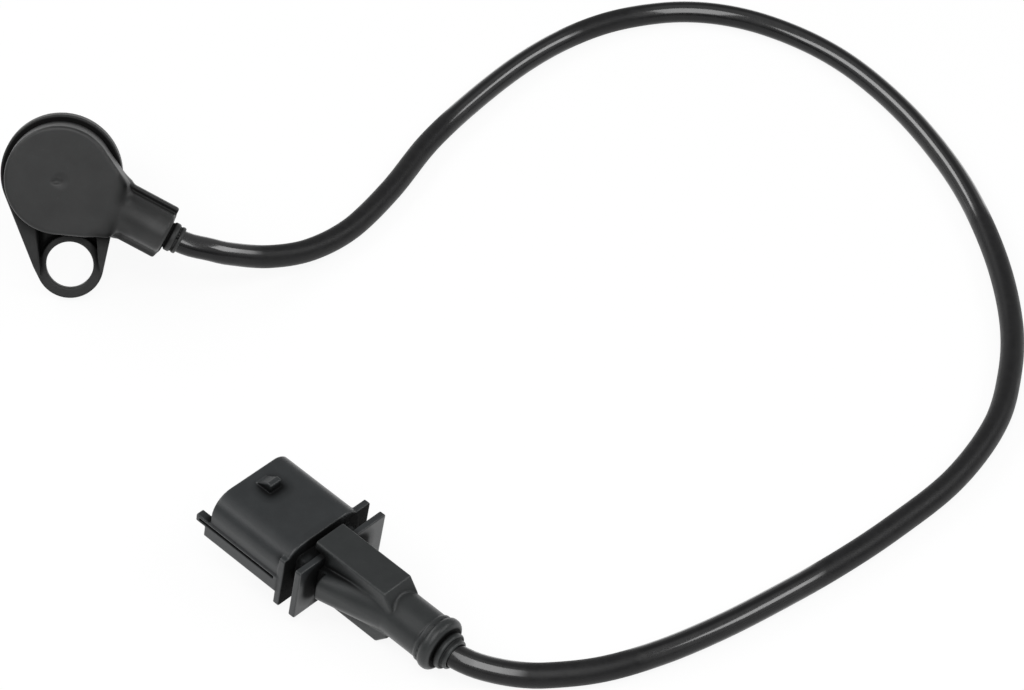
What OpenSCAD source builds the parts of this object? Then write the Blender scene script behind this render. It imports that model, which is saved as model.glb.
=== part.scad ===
// Crankshaft position sensor: a flanged sensor head, its lead and a three-pin plug.
// Millimetres, +Z up, floor at z = 0. The part lies on the floor as it does when put down:
// the head stands on the tip of its bolt ear and on the end of its plug nose.

/* [Mounting flange] */
// Radius of the round flange
flange_r = 13.55; // [13:0.1:16]
// Thickness of the flange and of the bolt ear
flange_t = 4; // [3.4:0.1:5.5]
// Distance from the head axis to the bolt hole
bolt_pitch = 20.9; // [20:0.1:24]
// Diameter of the bolt hole
bolt_d = 10.6; // [6:0.1:11.4]
// Outer radius of the ear round the bolt hole
ear_r = 7.6; // [7.4:0.1:9.5]
// Radius of the recess that takes the bolt head
seat_r = 6.6; // [6:0.1:7]
// Thickness left under the bolt head
seat_t = 2.2; // [1.6:0.1:3]

/* [Plug nose] */
// Diameter of the nose that enters the engine block
nose_d = 15; // [14.4:0.2:17]
// Length of the nose below the flange
nose_len = 37.4; // [34:0.2:42]
// Lead-in edge at the tip of the nose
nose_edge = 1; // [0.4:0.1:1.5]
// Section diameter of the sealing ring
seal_d = 2.2; // [1.8:0.1:2.6]
// Distance from the flange to the middle of the sealing ring
seal_at = 5; // [4:0.5:7]
// Wall of the nose at its tip
tip_t = 2; // [1.2:0.1:3]

/* [Cover] */
// Radius of the round cover on the flange
cap_r = 12.2; // [11.4:0.1:12.8]
// Height of the cover above the flange
cap_h = 8; // [7.6:0.1:10]
// Broken edge round the top of the cover
cap_edge = 0.8; // [0.4:0.1:1.2]
// Angle between the bolt ear and the lead arm
arm_from_ear = 57.5; // [54:0.5:64]
// Width of the plate under the lead arm
arm_w = 12.6; // [11:0.1:13]
// Thickness of that plate above the flange
arm_t = 2; // [1:0.1:2.6]
// Diameter of the rounded lead arm
boss_d = 9.2; // [8.4:0.1:9.4]
// Distance from the head axis to the end of the lead arm
arm_end = 26.7; // [25:0.2:30]
// Diameter of the collar that grips the lead
collar_d = 6.6; // [6:0.1:7.4]
// Length of the collar past the arm
collar_len = 3.4; // [2:0.2:5]
// Height of the lead axis above the mounting face
lead_z = 7.2; // [7:0.1:7.6]

/* [Pick-up coil] */
// Diameter of the steel pole pin
pole_d = 5; // [4:0.1:6]
// Diameter of the magnet
magnet_d = 9; // [8:0.1:9.2]
// Length of the magnet
magnet_len = 8; // [6:0.5:10]
// Length of the coil former
coil_len = 18.5; // [15:0.5:20]
// Diameter of the copper winding
winding_d = 10.6; // [8.6:0.1:11]

/* [Lead] */
// Outer diameter of the lead
cable_d = 5.25; // [4.5:0.05:5.6]
// Diameter of one insulated core
core_d = 1.5; // [1.2:0.1:1.6]

/* [Plug housing] */
// Width of the plug housing
shroud_w = 22.6; // [22:0.1:23.2]
// Height of the plug housing
shroud_h = 13; // [12.4:0.1:13.4]
// Length of the plug housing ahead of the clip plates
shroud_len = 19.2; // [18:0.2:21]
// Corner radius of the plug housing
shroud_r = 5; // [4:0.1:5.6]
// Wall of the plug housing
shroud_wall = 1.7; // [1.3:0.1:2]
// Depth of the socket
socket_len = 14.6; // [13:0.2:15]
// Width of the clip plates
plate_w = 25.6; // [24.8:0.2:26.8]
// Reach of the clip plates above the plug axis
plate_up = 4.7; // [4.5:0.1:6.4]
// Reach of the clip plates below the plug axis
plate_dn = 8.6; // [7.6:0.1:9.2]
// Thickness of a clip plate
plate_t = 1.5; // [1.1:0.1:1.8]
// Slot between the clip plates
plate_gap = 2.9; // [2.4:0.1:3.6]
// Width of the locking nub
nub_w = 3.4; // [3:0.2:7]
// Height of the locking nub
nub_h = 1.6; // [0.6:0.1:2]

/* [Plug boot] */
// Length of the boot behind the clip plates
boot_len = 32.2; // [31:0.2:36]
// Diameter of the round boot
boot_d = 10.4; // [9.6:0.1:11]
// Width of the boot where it meets the clip plates
boot_root_w = 17.8; // [17:0.1:19]
// Length over which the boot narrows
boot_narrow = 17; // [16.4:0.2:19]
// Diameter of the bead at the end of the boot
bead_d = 11.9; // [11:0.1:13]
// Diameter of the tail behind the bead
tail_d = 7.6; // [7:0.1:8.6]
// Width of the flat bar on the boot
bar_w = 8.2; // [6:0.1:9.4]
// Height of that bar above the boot axis
bar_h = 6.9; // [6:0.1:7.2]
// Length of that bar
bar_len = 16; // [12:0.2:17]

/* [Contacts] */
// Distance between neighbouring contacts
pin_pitch = 5; // [4.6:0.1:5.2]
// Width of a contact blade
pin_w = 1.6; // [1.2:0.1:2]
// Thickness of a contact blade
pin_t = 0.8; // [0.6:0.1:1]
// Setback of the contact tips from the mouth
pin_back = 7.4; // [7:0.1:8.4]

/* [Hidden] */
$fn = 64;
// small overlap used only where one piece is cut by another
eps = 0.05;
// gap round the lead and round the loose cores
lead_gap = 0.12;
core_gap = 0.12;
// gap round pieces that slide into one another
slip = 0.1;
// straight sides start this far inside the rounds that they leave
bite = 0.04;

// head sizes that follow from the ones above
nose_r = nose_d / 2;
bore_r = nose_r - 1.7;
cap_top = flange_t + cap_h;
chamber_r = cap_r - 3.4;
chamber_top = cap_top - 2;
arm_deg = arm_from_ear - 90;
tan_y = -(flange_r - ear_r) / bolt_pitch;
tan_x = sqrt(1 - tan_y * tan_y);
former_bottom = -nose_len + tip_t;
former_top = former_bottom + coil_len;
magnet_top = former_top + magnet_len;
web_t = 2;
blade_t = 0.6;
blade_w = 2;
core_off = core_d / 2 + 0.15;
blade_off = core_off + core_d / 2 + blade_t / 2;
lead_in = 15;
seal_major = nose_r - 0.3;

// where the lead arm starts on the cover, along and across the arm
root_up = [14.1, arm_w / 2 - bite];
root_dn = [16.4, -arm_w / 2 + bite];
dir_arm = [cos(arm_deg), sin(arm_deg)];
dir_side = [-sin(arm_deg), cos(arm_deg)];
function on_arm(p) = p[0] * dir_arm + p[1] * dir_side;
function touch(p, side) = atan2(p[1], p[0]) + side * acos(cap_r / norm(p));
cap_up = on_arm(root_up);
cap_dn = on_arm(root_dn);
deg_up = touch(cap_up, 1);
deg_dn = touch(cap_dn, -1);
side_up = (cap_r - bite) * [cos(deg_up), sin(deg_up)];
side_dn = (cap_r - bite) * [cos(deg_dn), sin(deg_dn)];

// stance of the head on the floor
head_turn = 0.9;
head_yaw = 4.4;
ear_low = bolt_pitch * cos(head_turn) + ear_r;
head_lean = atan((ear_low - nose_r) / (nose_len - nose_edge));
head_x = -7.4;
head_y = -9.73;
head_z = ear_low * cos(head_lean);

// plug sizes that follow; x runs from the mouth to the boot, x = 0 behind the clip plates
plates_len = 2 * plate_t + plate_gap;
mouth_x = -plates_len - shroud_len;
floor_x = mouth_x + socket_len;
neck_w = boot_root_w + 1.8;
neck_h = boot_d - 1.2;
// the clip plates stand a little to one side
plate_off = 1.4;
sock_w = shroud_w - 2 * shroud_wall;
sock_h = shroud_h - 2 * shroud_wall;
sock_r = shroud_r - shroud_wall;
back_w = 15;
back_h = 6.8;
back_x = -6;
insert_w = 13.4;
insert_h = 5;
insert_end = -3.6;
pin_tail = -2;
rail_top = -1.4;
rail_low = -4.9;
bead_t = 3;
// the bar reaches forward over the rear clip plate and most of the slot
bar_lap = plate_t + plate_gap - 1.1;
tail_len = 2.1;
bead_x = boot_len - tail_len - bead_t;
fan_y = pin_pitch;
gather_y = core_d + 0.16;
plug_lead_in = 14;
boot_r = boot_d / 2;
flank_r = boot_r - 0.15;
web_h = boot_r - 0.6;

// stance of the plug on the floor
plug_heading = -41.4;
plug_pitch = 7.5;
plug_roll = -5;
plug_x = 57.6;
plug_y = -116.93;
side_dip = abs(sin(plug_roll));
plate_low = ((plate_w / 2 + plate_off) * side_dip + plate_dn * cos(plug_roll)) * cos(plug_pitch);
bar_low = bar_len * sin(plug_pitch) + (bar_w / 2 * side_dip + bar_h * cos(plug_roll)) * cos(plug_pitch);
bead_low = (bead_x + bead_t / 2) * sin(plug_pitch) + bead_d / 2;
plug_z = max(plate_low, bar_low, bead_low);

// lead route, head end first: x, y and how far the lead is lifted off the floor
route = [
  [25.5, -21.7, 9.5],
  [30, -20.7, 7.3],
  [38.5, -17.3, 3.5],
  [47.6, -11.9, 1],
  [56.7, -3, 0],
  [65.3, 10.8, 0],
  [73.8, 28.2, 0],
  [84.3, 44.1, 0],
  [96.3, 59, 0],
  [108.2, 69.7, 0],
  [120.6, 76.5, 0],
  [135.5, 79.5, 0],
  [149.8, 77, 0],
  [163.7, 69.2, 0],
  [175.6, 57.8, 0],
  [186.6, 41.1, 0],
  [195, 22.7, 0],
  [200.5, 4.8, 0],
  [204.1, -16.5, 0],
  [204.8, -36.9, 0],
  [202.5, -53.4, 0],
  [197.6, -69, 0],
  [187.2, -85.6, 0],
  [173.2, -99.8, 0],
  [160.2, -110.9, 0],
  [147.2, -120.5, 0],
  [135.2, -128.5, 0],
  [123.2, -135.1, 0],
  [111.1, -139.7, 0],
  [99, -141.3, 0],
  [89.4, -140.8, 1.2]
];

// head pieces are drawn with the mounting face at z = 0 and the cover on +z
module place_head() {
  translate([head_x, head_y, head_z])
    rotate([0, 0, head_yaw])
      rotate([90 - head_lean, 0, 0])
        rotate([0, 0, head_turn])
          children();
}

// plug pieces are drawn along x, the boot on +x
module place_plug() {
  translate([plug_x, plug_y, plug_z])
    rotate([0, 0, plug_heading])
      rotate([0, plug_pitch, 0])
        rotate([plug_roll, 0, 0])
          children();
}

// a round bar from the point a to the point b
module rod(a, b, r) {
  v = b - a;
  len = norm(v);
  translate(a)
    rotate([0, acos(v[2] / len), atan2(v[1], v[0])])
      cylinder(r = r, h = len);
}

module box(lo, hi) {
  translate(lo)
    cube(hi - lo);
}

// flat outline of the flange with its ear
module flange_2d() {
  circle(r = flange_r);
  translate([0, -bolt_pitch])
    circle(r = ear_r);
  a = flange_r - bite;
  b = ear_r - bite;
  polygon([
    [a * tan_x, a * tan_y],
    [-a * tan_x, a * tan_y],
    [-b * tan_x, -bolt_pitch + b * tan_y],
    [b * tan_x, -bolt_pitch + b * tan_y]
  ]);
}

// straight-sided part of the cover between the round and the lead arm
module cover_wedge_2d() {
  polygon([
    [0, 0],
    side_dn,
    cap_dn,
    cap_up,
    side_up
  ]);
}

module cover_2d() {
  circle(r = cap_r);
  cover_wedge_2d();
}

module sensor_body() {
  color("#26282a")
    place_head()
      difference() {
        union() {
          linear_extrude(flange_t)
            flange_2d();
          rotate_extrude()
            polygon([
              [0, eps],
              [0, -nose_len],
              [nose_r - nose_edge, -nose_len],
              [nose_r, -nose_len + nose_edge],
              [nose_r, eps]
            ]);
        }
        translate([0, 0, former_bottom])
          cylinder(r = bore_r, h = nose_len + flange_t);
        translate([0, 0, -nose_len - 1])
          cylinder(d = pole_d, h = nose_len);
        translate([0, 0, -seal_at])
          rotate_extrude()
            translate([seal_major, 0])
              circle(d = seal_d);
        translate([0, -bolt_pitch, -1])
          cylinder(d = bolt_d, h = flange_t + 2);
        difference() {
          translate([0, 0, seat_t])
            linear_extrude(flange_t) {
              translate([-seat_r, -bolt_pitch - 1])
                square([2 * seat_r, bolt_pitch + 1]);
              translate([-2 * ear_r, -bolt_pitch - 2 * ear_r])
                square([4 * ear_r, 2 * ear_r]);
            }
          linear_extrude(flange_t + 1)
            cover_2d();
        }
      }
}

// one straight broken edge along the top of the cover, from a to b, cover on the left
module edge_cut(a, b) {
  v = b - a;
  translate([a[0], a[1], cap_top])
    rotate([0, 0, atan2(v[1], v[0])])
      rotate([45, 0, 0])
        translate([-5, -5 * cap_edge, -cap_edge / sqrt(2)])
          cube([norm(v) + 10, 10 * cap_edge, 10 * cap_edge]);
}

// section of the rounded lead arm, flat below, round above
module arm_2d() {
  intersection() {
    union() {
      translate([0, lead_z])
        circle(d = boss_d);
      translate([-boss_d / 2, flange_t])
        square([boss_d, lead_z - flange_t]);
    }
    translate([-boss_d, flange_t])
      square(2 * boss_d);
  }
}

module cover() {
  color("#3a3c3e")
    place_head()
      difference() {
        union() {
          translate([0, 0, flange_t])
            rotate_extrude()
              polygon([
                [0, 0],
                [cap_r, 0],
                [cap_r, cap_h - cap_edge],
                [cap_r - cap_edge, cap_h],
                [0, cap_h]
              ]);
          difference() {
            translate([0, 0, flange_t])
              linear_extrude(cap_h)
                cover_wedge_2d();
            edge_cut(side_dn, cap_dn);
            edge_cut(cap_up, side_up);
          }
          rotate([0, 0, arm_deg]) {
            box([root_up[0] - 4, -arm_w / 2, flange_t], [arm_end, arm_w / 2, flange_t + arm_t]);
            translate([10, 0, 0])
              rotate([90, 0, 90])
                linear_extrude(arm_end - 10)
                  arm_2d();
            translate([arm_end - 1, 0, lead_z])
              rotate([0, 90, 0])
                cylinder(d = collar_d, h = collar_len + 1);
          }
        }
        translate([0, 0, flange_t - 1])
          cylinder(r = chamber_r, h = chamber_top - flange_t + 1);
        rotate([0, 0, arm_deg])
          translate([0, 0, lead_z])
            rotate([0, 90, 0])
              cylinder(d = cable_d + 2 * lead_gap, h = arm_end + collar_len + 1);
        translate([0, 0, cap_top - 0.5])
          cylinder(d = 2.8, h = 1);
      }
}

module seal_ring() {
  color("#171717")
    place_head()
      translate([0, 0, -seal_at])
        rotate_extrude()
          translate([seal_major, 0])
            circle(d = seal_d);
}

module pole_pin() {
  color("#9a9da0")
    place_head()
      translate([0, 0, -nose_len])
        cylinder(d = pole_d, h = former_top + nose_len);
}

module magnet() {
  color("#5b5d60")
    place_head()
      translate([0, 0, former_top])
        cylinder(d = magnet_d, h = magnet_len);
}

module coil_former() {
  color("#d8d2c0")
    place_head()
      difference() {
        translate([0, 0, former_bottom])
          cylinder(r = bore_r, h = magnet_top + web_t - former_bottom);
        translate([0, 0, former_bottom - 1])
          cylinder(d = pole_d, h = coil_len + 1 + eps);
        translate([0, 0, former_top])
          cylinder(d = magnet_d, h = magnet_len);
        translate([0, 0, former_bottom + 1.2])
          rotate_extrude()
            translate([pole_d / 2 + 0.7, 0])
              square([bore_r, coil_len - 2.4]);
        for (side = [-1, 1])
          blade_solid(side);
      }
}

module winding() {
  color("#b5652b")
    place_head()
      translate([0, 0, former_bottom + 1.2])
        rotate_extrude()
          translate([pole_d / 2 + 0.7, 0])
            square([winding_d / 2 - pole_d / 2 - 0.7, coil_len - 2.4]);
}

// flat contact blade that stands in the coil former beside a core of the lead
module blade_solid(side) {
  rotate([0, 0, arm_deg])
    translate([2.5, side * blade_off, magnet_top + 0.5])
      translate([-blade_w / 2, -blade_t / 2, 0])
        cube([blade_w, blade_t, lead_z + 1 - magnet_top - 0.5]);
}

module blade_left() {
  color("#c8a24a")
    place_head()
      blade_solid(1);
}

module blade_right() {
  color("#c8a24a")
    place_head()
      blade_solid(-1);
}

module core_solid(side) {
  rotate([0, 0, arm_deg])
    translate([1.5, side * core_off, lead_z])
      rotate([0, 90, 0])
        cylinder(d = core_d, h = lead_in - 1.5);
}

module core_left() {
  color("#7a3b2e")
    place_head()
      core_solid(1);
}

module core_right() {
  color("#2f4f7a")
    place_head()
      core_solid(-1);
}

// points given in the head's own frame, as they stand on the floor
function turn_x(p, a) = [p[0], p[1] * cos(a) - p[2] * sin(a), p[1] * sin(a) + p[2] * cos(a)];
function turn_y(p, a) = [p[0] * cos(a) + p[2] * sin(a), p[1], p[2] * cos(a) - p[0] * sin(a)];
function turn_z(p, a) = [p[0] * cos(a) - p[1] * sin(a), p[0] * sin(a) + p[1] * cos(a), p[2]];
function head_pt(p) =
  [head_x, head_y, head_z] + turn_z(turn_x(turn_z(p, head_turn), 90 - head_lean), head_yaw);
function plug_pt(p) =
  [plug_x, plug_y, plug_z] + turn_z(turn_y(turn_x(p, plug_roll), plug_pitch), plug_heading);
function arm_pt(s) = head_pt([s * dir_arm[0], s * dir_arm[1], lead_z]);

lead_pts = concat(
  [arm_pt(lead_in), arm_pt((lead_in + arm_end) / 2), arm_pt(arm_end + collar_len + 0.5)],
  [for (p = route) [p[0], p[1], p[2] + cable_d / 2]],
  [plug_pt([boot_len + 0.6, 0, 0]), plug_pt([(boot_len + plug_lead_in) / 2, 0, 0]),
   plug_pt([plug_lead_in, 0, 0])]
);
lead_n = len(lead_pts);

// smooth curve through the route, two rings to a stretch
function pt(i) = lead_pts[max(0, min(lead_n - 1, i))];
function mid(i) = (9 * (pt(i) + pt(i + 1)) - pt(i - 1) - pt(i + 2)) / 16;
function between(i) = [mid(i)[0], mid(i)[1], max(mid(i)[2], cable_d / 2)];
function straight(i) = i < 2 || i > lead_n - 4;
lead_path = [
  for (i = [0:lead_n - 1])
    for (k = [0:1])
      if (k == 0 || (i < lead_n - 1 && !straight(i)))
        k == 0 ? pt(i) : between(i)
];
path_n = len(lead_path);
function unit(v) = v / norm(v);
function along(i) = unit(lead_path[min(path_n - 1, i + 1)] - lead_path[max(0, i - 1)]);
function heading(i) =
  i <= 2 ? unit(lead_path[1] - lead_path[0]) :
  i >= path_n - 3 ? unit(lead_path[path_n - 1] - lead_path[path_n - 2]) :
  along(i);
sides = 12;
function ring(i) =
  let (t = heading(i), s = unit(cross(t, [0, 0, 1])), u = cross(s, t))
  [for (k = [0:sides - 1])
    lead_path[i] + cable_d / 2 * (cos(360 * k / sides) * s + sin(360 * k / sides) * u)];

module cable() {
  color("#1c1d1f")
    polyhedron(
      points = [for (i = [0:path_n - 1]) each ring(i)],
      faces = concat(
        [[for (k = [sides - 1:-1:0]) k]],
        [for (i = [0:path_n - 2])
          for (k = [0:sides - 1])
            [
              i * sides + k,
              i * sides + (k + 1) % sides,
              (i + 1) * sides + (k + 1) % sides,
              (i + 1) * sides + k
            ]],
        [[for (k = [0:sides - 1]) (path_n - 1) * sides + k]]
      )
    );
}

// rounded rectangle in the y z plane, drawn from x = a to x = b
module rounded_bar(a, b, w, h, r) {
  translate([a, 0, 0])
    rotate([90, 0, 90])
      linear_extrude(b - a) {
        square([w - 2 * r, h], center = true);
        square([w, h - 2 * r], center = true);
        for (i = [-1, 1])
          for (j = [-1, 1])
            translate([i * (w / 2 - r), j * (h / 2 - r)])
              circle(r = r);
      }
}

module square_bar(a, b, w, h) {
  box([a, -w / 2, -h / 2], [b, w / 2, h / 2]);
}

// plate that clips into a bracket, from x = a
module clip_plate(a) {
  box([a, plate_off - plate_w / 2, -plate_dn], [a + plate_t, plate_off + plate_w / 2, plate_up]);
}

module plug_housing() {
  color("#33373a")
    place_plug()
      difference() {
        union() {
          rounded_bar(mouth_x, -plates_len + plate_t, shroud_w, shroud_h, shroud_r);
          clip_plate(-plates_len);
          square_bar(-plates_len + plate_t - eps, -plate_t + eps, neck_w, neck_h);
          clip_plate(-plate_t);
          for (side = [-1, 1])
            rail(side);
          lock_nub();
        }
        rounded_bar(mouth_x - 1, floor_x, sock_w, sock_h, sock_r);
        square_bar(floor_x - 1, back_x + 1, insert_w, insert_h);
        square_bar(back_x, 1, back_w, back_h);
        for (side = [-1, 1])
          rail_groove(side);
      }
}

// guide rail on the side of the housing, with a thin tongue ahead of the mouth
module rail(side) {
  in_y = sock_w / 2 + 0.2;
  out_y = shroud_w / 2 + 0.35;
  a = side > 0 ? in_y : -out_y;
  b = side > 0 ? out_y : -in_y;
  box([mouth_x - 1, a, rail_low], [-plates_len + eps, b, rail_top]);
  box([mouth_x - 3.6, a, rail_top - 1], [-plates_len + eps, b, rail_top + 0.9]);
}

module rail_groove(side) {
  y = shroud_w / 2;
  a = side > 0 ? y - 0.25 : -y - 1;
  b = side > 0 ? y + 1 : -y + 0.25;
  box([mouth_x - 2.6, a, rail_top - 0.3], [-plates_len, b, rail_top + 0.3]);
}

// ramp that the catch of the mating plug snaps over
module lock_nub() {
  translate([mouth_x + 1.9, nub_w / 2, shroud_h / 2 - eps])
    rotate([90, 0, 0])
      linear_extrude(nub_w)
        polygon([[0, 0], [3.8, 0], [3.8, nub_h], [3.2, nub_h]]);
}

module plug_boot() {
  root_y = boot_root_w / 2 - flank_r;
  color("#2b2e30")
    place_plug() {
      box([-bar_lap, -bar_w / 2, plate_up], [1, bar_w / 2, bar_h]);
      difference() {
        union() {
          for (side = [-1, 1])
            rod([-2, side * root_y * (1 + 2 / boot_narrow), 0], [boot_narrow, 0, 0], flank_r);
          translate([0, 0, -web_h])
            linear_extrude(2 * web_h)
              polygon([[-1, -root_y], [boot_narrow, 0], [-1, root_y]]);
          rod([-1, 0, 0], [bead_x + bead_t / 2, 0, 0], boot_r);
          translate([bead_x + bead_t / 2, 0, 0])
            rotate([0, 90, 0])
              rotate_extrude() {
                translate([bead_d / 2 - bead_t / 2, 0])
                  circle(d = bead_t);
                translate([0, -bead_t / 2])
                  square([bead_d / 2 - bead_t / 2, bead_t]);
              }
          rod([bead_x + bead_t - eps, 0, 0], [boot_len, 0, 0], tail_d / 2);
          for (side = [0, 1])
            mirror([0, 0, side])
              translate([0, bar_w / 2, 0])
                rotate([90, 0, 0])
                  linear_extrude(bar_w)
                    polygon([
                      [0, 0],
                      [0, bar_h],
                      [bar_len, bar_h],
                      [bar_len + bar_h - 4, 4],
                      [bar_len + bar_h - 4, 0]
                    ]);
        }
        box([-4, -20, -20], [0, 20, 20]);
        rod([plug_lead_in, 0, 0], [boot_len + 1, 0, 0], cable_d / 2 + lead_gap);
        for (i = [-1:1])
          plug_core_solid(i, core_d / 2 + core_gap, 1);
      }
    }
}

module contact_carrier() {
  color("#1f4a3c")
    place_plug()
      difference() {
        union() {
          square_bar(floor_x, insert_end, insert_w, insert_h);
          square_bar(back_x, back_x + 1.5, back_w - 2 * slip, back_h - 2 * slip);
        }
        for (i = [-1:1])
          contact_solid(i);
      }
}

module contact_solid(i) {
  y = i * pin_pitch;
  box([mouth_x + pin_back, y - pin_w / 2, -pin_t / 2], [pin_tail, y + pin_w / 2, pin_t / 2]);
}

module contact_1() {
  color("#c8b060")
    place_plug()
      contact_solid(-1);
}

module contact_2() {
  color("#c8b060")
    place_plug()
      contact_solid(0);
}

module contact_3() {
  color("#c8b060")
    place_plug()
      contact_solid(1);
}

// a core runs from the back of its contact to the end of the lead
module plug_core_solid(i, r, more) {
  a = [pin_tail + 0.25, i * fan_y, 0];
  b = [plug_lead_in - 0.25, i * gather_y, 0];
  rod(a, b + more * (b - a) / norm(b - a), r);
}

module plug_core_1() {
  color("#7a3b2e")
    place_plug()
      plug_core_solid(-1, core_d / 2, 0);
}

module plug_core_2() {
  color("#b8b8b0")
    place_plug()
      plug_core_solid(0, core_d / 2, 0);
}

module plug_core_3() {
  color("#2f4f7a")
    place_plug()
      plug_core_solid(1, core_d / 2, 0);
}

sensor_body();
cover();
seal_ring();
pole_pin();
magnet();
coil_former();
winding();
blade_left();
blade_right();
core_left();
core_right();
cable();
plug_housing();
plug_boot();
contact_carrier();
contact_1();
contact_2();
contact_3();
plug_core_1();
plug_core_2();
plug_core_3();
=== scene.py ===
import math

import bpy
import numpy as np
from mathutils import Matrix, Vector


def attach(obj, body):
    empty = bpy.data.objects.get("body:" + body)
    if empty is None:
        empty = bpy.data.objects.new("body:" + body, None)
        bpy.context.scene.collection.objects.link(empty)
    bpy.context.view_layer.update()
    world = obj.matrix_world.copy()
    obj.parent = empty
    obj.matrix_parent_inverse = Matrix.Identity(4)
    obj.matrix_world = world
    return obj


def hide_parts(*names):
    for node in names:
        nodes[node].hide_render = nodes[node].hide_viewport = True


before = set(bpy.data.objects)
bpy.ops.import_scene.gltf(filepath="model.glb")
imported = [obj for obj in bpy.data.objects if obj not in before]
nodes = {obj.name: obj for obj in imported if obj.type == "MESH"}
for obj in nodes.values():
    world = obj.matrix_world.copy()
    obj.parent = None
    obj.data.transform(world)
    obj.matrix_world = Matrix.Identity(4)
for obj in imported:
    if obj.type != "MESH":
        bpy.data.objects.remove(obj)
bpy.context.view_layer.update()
scene = bpy.context.scene
scene.view_settings.view_transform = "Standard"
mm = 0.001
print("frame loaded,", len(nodes), "nodes")

# camera at the picture's angle
shot = {"place": (0.093456, -0.597666, 0.508972), "tilt": 47.6, "lens": 119.18, "sensor": 36, "reach": (0.01, 50)}
camData = bpy.data.cameras.new("camera")
camData.lens = shot["lens"]
camData.sensor_width = shot["sensor"]
camData.clip_start, camData.clip_end = shot["reach"]
camera = bpy.data.objects.new("camera", camData)
camera.location = shot["place"]
camera.rotation_euler = (math.radians(shot["tilt"]), 0, 0)
scene.collection.objects.link(camera)
scene.camera = camera
print("camera set")

# how the head and the plug lie on the floor, in millimetres and degrees
headLay = {
    "place": (-7.4, -9.73, 24.684), "turns": (("Z", 4.4), ("X", 60.021), ("Z", 0.9)),
    "armTurn": -32.5, "leadHeight": 7.2,  # the lead arm's direction and height on the head
}
plugLay = {"place": (57.6, -116.93, 9.721), "turns": (("Z", -41.4), ("Y", 7.5), ("X", -5.0))}


def stance(lay):
    m = Matrix.Translation(Vector(lay["place"]))
    for axis, degrees in lay["turns"]:
        m = m @ Matrix.Rotation(math.radians(degrees), 4, axis)
    return m


headStance, plugStance = stance(headLay), stance(plugLay)
armTurn, leadHeight = math.radians(headLay["armTurn"]), headLay["leadHeight"]


def newGroup(name, ins, outs, kind="ShaderNodeTree"):
    group = bpy.data.node_groups.new(name, kind)
    for label, socket, value in ins:
        s = group.interface.new_socket(name=label, in_out="INPUT", socket_type="NodeSocket" + socket)
        if value is not None:
            s.default_value = value
    for label, socket in outs:
        group.interface.new_socket(name=label, in_out="OUTPUT", socket_type="NodeSocket" + socket)
    return group, group.nodes.new("NodeGroupInput"), group.nodes.new("NodeGroupOutput")


# adds a node, sets its options, then links or sets its inputs
def put(tree, kind, links=None, **values):
    node = tree.nodes.new(kind)
    for key, value in values.items():
        setattr(node, key, value)
    for key, value in (links or {}).items():
        socket = node.inputs[key]
        if isinstance(value, bpy.types.NodeSocket):
            tree.links.new(value, socket)
        else:
            socket.default_value = value
    return node


def math2(tree, operation, a, b=0.0, clamp=False):
    return put(tree, "ShaderNodeMath", {0: a, 1: b}, operation=operation, use_clamp=clamp).outputs[0]


def spread(tree, value, a, b, c=0.0, d=1.0):
    limits = {"Value": value, "From Min": a, "From Max": b, "To Min": c, "To Max": d}
    return put(tree, "ShaderNodeMapRange", limits).outputs[0]


def noise(tree, place, scale, detail, rough=0.5):
    values = {"Vector": place, "Scale": scale, "Detail": detail, "Roughness": rough}
    return put(tree, "ShaderNodeTexNoise", values).outputs["Fac"]


def blendColor(tree, share, a, b):
    return put(tree, "ShaderNodeMix", {0: share, 6: a, 7: b}, data_type="RGBA").outputs[2]


def readValue(tree, label, output="Fac"):
    return put(tree, "ShaderNodeAttribute", attribute_name=label).outputs[output]


def objectPlace(tree):
    return tree.nodes.new("ShaderNodeTexCoord").outputs["Object"]


# fine mould texture: small grain, pits between it, and broad uneven patches
def grainGroup():
    tree, start, end = newGroup("mouldGrain",
        [("Place", "Vector", None), ("Grain", "Float", 4200.0), ("Patch", "Float", 160.0)],
        [("Height", "Float"), ("Patches", "Float"), ("Specks", "Float")])
    place, grain, patch = start.outputs[0], start.outputs[1], start.outputs[2]
    fine = noise(tree, place, grain, 3.0, 0.6)
    pitScale = math2(tree, "MULTIPLY", grain, 0.55)
    pits = put(tree, "ShaderNodeTexVoronoi", {"Vector": place, "Scale": pitScale}).outputs["Distance"]
    height = math2(tree, "ADD", math2(tree, "MULTIPLY", fine, 0.65), math2(tree, "MULTIPLY", pits, 0.35))
    broad = noise(tree, place, patch, 5.0, 0.62)
    speck = noise(tree, place, math2(tree, "MULTIPLY", patch, 14.0), 2.0)
    tree.links.new(height, end.inputs[0])
    tree.links.new(spread(tree, broad, 0.32, 0.68), end.inputs[1])
    tree.links.new(spread(tree, speck, 0.66, 0.78), end.inputs[2])
    return tree


# edges rubbed lighter where the surface turns, broken up by a coarse noise
def rubGroup():
    tree, start, end = newGroup("rubbedEdges",
        [("Place", "Vector", None), ("Rim", "Float", 0.0), ("Scale", "Float", 700.0)], [("Rubbed", "Float")])
    broken = spread(tree, noise(tree, start.outputs[0], start.outputs[2], 4.0, 0.7), 0.3, 0.62)
    tree.links.new(math2(tree, "MULTIPLY", start.outputs[1], broken, True), end.inputs[0])
    return tree


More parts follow.
